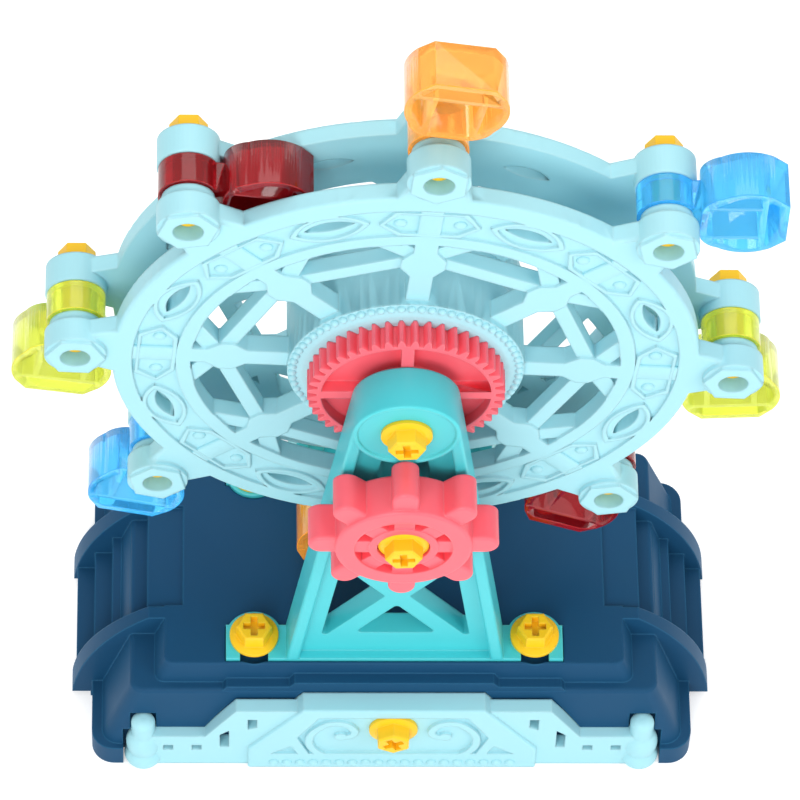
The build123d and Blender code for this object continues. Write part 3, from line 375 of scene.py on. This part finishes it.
def window_cutter(toward):
    """Eight flat blocks that lower the thin bars between the spokes."""
    inner_turn = math.asin(SPOKE_HALF / HUB_EDGE)
    outer_turn = math.asin(SPOKE_HALF / RING_INSIDE)
    edge = [(HUB_EDGE, inner_turn), (RING_INSIDE, outer_turn)]
    node_side = [(NODE_RADIUS + NODE_LONG, SPOKE_HALF), (NODE_RADIUS + NODE_SHORT, NODE_WIDE),
                 (NODE_RADIUS - NODE_SHORT, NODE_WIDE), (NODE_RADIUS - NODE_LONG, SPOKE_HALF)]
    side_points = [(math.hypot(u, v), math.atan2(v, u)) for u, v in node_side]
    outer = [(RING_INSIDE, outer_turn + (PITCH - 2 * outer_turn) * k / ARC_STEPS)
             for k in range(ARC_STEPS + 1)]
    inner = [(HUB_EDGE, PITCH - inner_turn - (PITCH - 2 * inner_turn) * k / ARC_STEPS)
             for k in range(ARC_STEPS + 1)]
    outline = (list(reversed(side_points)) + outer
               + [(radius, PITCH - turn) for radius, turn in side_points] + inner)
    shape = bmesh.new()
    for k in range(8):
        corners = [on_wheel(radius, turn + k * PITCH, toward * (DISC_FACE - BAR_DROP)).translation
                   for radius, turn in outline]
        face = shape.faces.new([shape.verts.new(corner) for corner in corners])
        grown = bmesh.ops.extrude_face_region(shape, geom=[face])["geom"]
        bmesh.ops.translate(shape, vec=(0, toward * CUT_ABOVE, 0),
                            verts=[item for item in grown if isinstance(item, bmesh.types.BMVert)])
    bmesh.ops.recalc_face_normals(shape, faces=shape.faces)
    data = bpy.data.meshes.new("cutter")
    shape.to_mesh(data)
    shape.free()
    cutter = bpy.data.objects.new("cutter", data)
    bpy.context.scene.collection.objects.link(cutter)
    return cutter


for side_name, toward in (("front", -1), ("rear", 1)):
    node = f"wheel_{side_name}_disc"
    disc = joined_copy(node)
    cutter = window_cutter(toward)
    only(disc)
    cut = disc.modifiers.new("lower_bars", "BOOLEAN")
    cut.operation = "DIFFERENCE"
    cut.solver = "EXACT"
    cut.object = cutter
    bpy.ops.object.modifier_apply(modifier=cut.name)
    bpy.data.objects.remove(cutter)
    complete(disc, f"{node}_detailed", "wheel", "wheel_aqua", 0)
    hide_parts(node)

    beads = set_out([(cap_bead(BEAD_RADIUS, BEAD_HEIGHT), [
        on_wheel(BEAD_RING, math.tau * k / BEAD_COUNT, toward * BEAD_SEAT, BEAD_TILT)
        for k in range(BEAD_COUNT)])])
    complete(beads, f"hub_beads_{side_name}", "wheel", "wheel_aqua", 60)

    bar = band_bar(BAND_HIGH - BAND_LOW, 2 * SPOKE_HALF,
                   DISC_FACE - BAND_FLOOR + BAR_SINK - FACE_MARGIN)
    bars = [on_wheel((BAND_LOW + BAND_HIGH) / 2, k * PITCH, toward * BAND_FLOOR)
            for k in range(8)]
    domes = [on_wheel(PANEL_DOME, k * PITCH + lean * PANEL_TURN, toward * BAND_FLOOR)
             for k in range(8) for lean in (-1, 1)]
    dome = cap_bead(DOME_RADIUS, DOME_HEIGHT, DOME_SIDES)
    trim = set_out([(bar, bars), (dome, domes)])
    complete(trim, f"band_trim_{side_name}", "wheel", "wheel_aqua", 50)

# ---------------------------------------------------------------- drive gear
# Turned by whole teeth, so the teeth stay in mesh while the ribs come nearly upright.
GEAR_TEETH = 44
TEETH_TURNED = 5
RIB_TURN = TEETH_TURNED * math.tau / GEAR_TEETH
gear = joined_copy("drive_gear")
gear.data.transform(Matrix.Translation(AXLE) @ Matrix.Rotation(RIB_TURN, 4, "Y")
                    @ Matrix.Translation(-AXLE))
complete(gear, "drive_gear_ribbed", "wheel", "gear_coral", 0)
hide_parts("drive_gear")

# ---------------------------------------------------------------- fence ornament
STRIP_FACE = -50.2 * MM
STRIP_BEADS = 19
STRIP_PITCH = 4.08 * MM
STRIP_HEIGHT = 3.8 * MM
STRIP_BEAD_RADIUS, STRIP_BEAD_HEIGHT, STRIP_BEAD_SIDES = 1.6 * MM, 1.0 * MM, 10
FACING = Matrix.Rotation(math.radians(90), 4, "X")
strip = set_out([(cap_bead(STRIP_BEAD_RADIUS, STRIP_BEAD_HEIGHT, STRIP_BEAD_SIDES), [
    Matrix.Translation(Vector(((k - (STRIP_BEADS - 1) / 2) * STRIP_PITCH, STRIP_FACE,
                               STRIP_HEIGHT))) @ FACING for k in range(STRIP_BEADS)])])
complete(strip, "plaque_beads", "stand", "wheel_aqua", 60)

# ---------------------------------------------------------------- gondolas
for number in range(1, 9):
    node = f"gondola_{number}"
    shell = joined_copy(node)
    complete(shell, f"{node}_shell", BODY_OF[node], SLOT_OF[node], 32)
    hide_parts(node)


# ---------------------------------------------------------------- camera
LENS_PIXELS = 6182.8
VIEW_DISTANCE = 1839.58 * MM
VIEW_ELEVATION = math.radians(57.89)
VIEW_YAW = math.radians(-3.29)
VIEW_ROLL = math.radians(2.93)
VIEW_TARGET = Vector((-0.29, 0.0, 135.86)) * MM

back = Vector((math.sin(VIEW_YAW) * math.cos(VIEW_ELEVATION),
               -math.cos(VIEW_YAW) * math.cos(VIEW_ELEVATION), math.sin(VIEW_ELEVATION)))
level = back.cross(Vector((0, 0, -1))).normalized()
rise = back.cross(level)
side = level * math.cos(VIEW_ROLL) + rise * math.sin(VIEW_ROLL)
rise = rise * math.cos(VIEW_ROLL) - level * math.sin(VIEW_ROLL)
eye = VIEW_TARGET + back * VIEW_DISTANCE
bpy.ops.object.camera_add()
camera = bpy.context.object
camera.name = "camera"
camera.data.sensor_width = 36.0
camera.data.lens = LENS_PIXELS * camera.data.sensor_width / PHOTO_SIDE
camera.data.clip_end = 10.0
camera.matrix_world = Matrix.Translation(eye) @ Matrix((side, rise, back)).transposed().to_4x4()
bpy.context.scene.camera = camera

# ---------------------------------------------------------------- floor and light
FLOOR_GLOW = 0.42
ROOM_LIGHT = 0.62
ROOM_BEHIND_CLEAR = 0.38


def backdrop_rays(finish):
    """1 where the backdrop is seen straight, through clear plastic or in a gloss."""
    seen = finish.node("ShaderNodeLightPath", out="Is Camera Ray")
    for kind in ("Is Transmission Ray", "Is Glossy Ray"):
        seen = seen + finish.node("ShaderNodeLightPath", out=kind)
    return seen.clamped()


bpy.ops.object.select_all(action="DESELECT")
bpy.ops.mesh.primitive_plane_add(size=6.0, location=(0, 0, 0))
floor = bpy.context.object
floor.name = "floor"
pale = Finish("pale_floor")
seen = backdrop_rays(pale)
matt = pale.node("ShaderNodeBsdfDiffuse", {}, {"Color": (0.86, 0.86, 0.86, 1)})
glow = pale.node("ShaderNodeEmission", {}, {"Color": (1, 1, 1, 1), "Strength": seen * FLOOR_GLOW})
floor.data.materials.append(pale.show(pale.node("ShaderNodeAddShader", {}, {0: matt, 1: glow})))


def softbox(name, place, target, size, power):
    bpy.ops.object.light_add(type="AREA", location=place)
    lamp = bpy.context.object
    lamp.name = name
    lamp.data.size = size
    lamp.data.energy = power
    aim = Vector(target) - Vector(place)
    lamp.rotation_euler = aim.to_track_quat("-Z", "Y").to_euler()


softbox("key_softbox", (-0.5, -1.5, 1.1), (0, 0, 0.12), 1.0, 17)
softbox("fill_softbox", (1.1, -0.8, 0.9), (0, 0, 0.12), 0.9, 7)
softbox("top_softbox", (0.0, 0.5, 1.6), (0, 0, 0.1), 1.2, 8)
room = bpy.data.worlds.new("studio")
bpy.context.scene.world = room
room.use_nodes = True
room.node_tree.nodes["Background"].inputs["Color"].default_value = (1, 1, 1, 1)
air = room.node_tree.nodes
paths = air.new("ShaderNodeLightPath")
clear = air.new("ShaderNodeMath")
clear.operation = "MULTIPLY_ADD"
clear.inputs[1].default_value = ROOM_BEHIND_CLEAR
clear.inputs[2].default_value = ROOM_LIGHT
room.node_tree.links.new(paths.outputs["Is Transmission Ray"], clear.inputs[0])
room.node_tree.links.new(clear.outputs[0], air["Background"].inputs["Strength"])
bpy.context.scene.view_settings.view_transform = "Standard"
